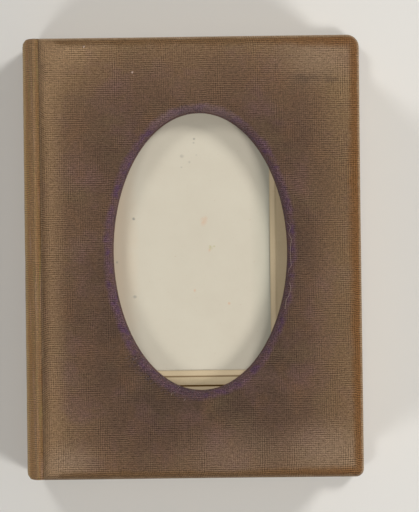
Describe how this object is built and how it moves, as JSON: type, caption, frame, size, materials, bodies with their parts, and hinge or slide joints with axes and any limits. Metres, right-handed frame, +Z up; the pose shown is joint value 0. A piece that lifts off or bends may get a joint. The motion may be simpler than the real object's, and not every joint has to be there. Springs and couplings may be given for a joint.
{
  "type": "photo album",
  "caption": "Small velvet-covered photo album with an oval window in its hinged front cover, a rounded spine and a block of stiff card leaves",
  "frame": {"origin": "Under the middle of the whole album, on the surface that its back cover lies on", "axes": "+X runs from the spine to the fore edge, +Y from the tail to the head, +Z up through the front cover"},
  "size_m": [0.114, 0.15, 0.0362],
  "materials": {
    "plush": "faded velvet plush, matt, worn at the edges",
    "board": "raw pasteboard",
    "lining": "smooth aged endpaper",
    "leaf_card": "yellowed card with a matt face",
    "blank_card": "cream card with slight foxing"
  },
  "bodies": {
    "book_block": {"leaves": "leaf_card", "window_card": "blank_card", "spine_board": "board", "spine_plush": "plush"},
    "front_cover": {"front_board": "board", "front_plush": "plush", "front_lining": "lining"},
    "back_cover": {"back_board": "board", "back_plush": "plush", "back_lining": "lining"}
  },
  "joints": [
    {"name": "front_hinge", "type": "hinge", "parent": "book_block", "child": "front_cover", "pos_m": [-0.0527, 0, 0.036], "axis": [0, -1, 0], "range_deg": [0, 180]},
    {"name": "back_hinge", "type": "hinge", "parent": "book_block", "child": "back_cover", "pos_m": [-0.0527, 0, 0.0002], "axis": [0, 1, 0], "range_deg": [0, 180]}
  ]
}
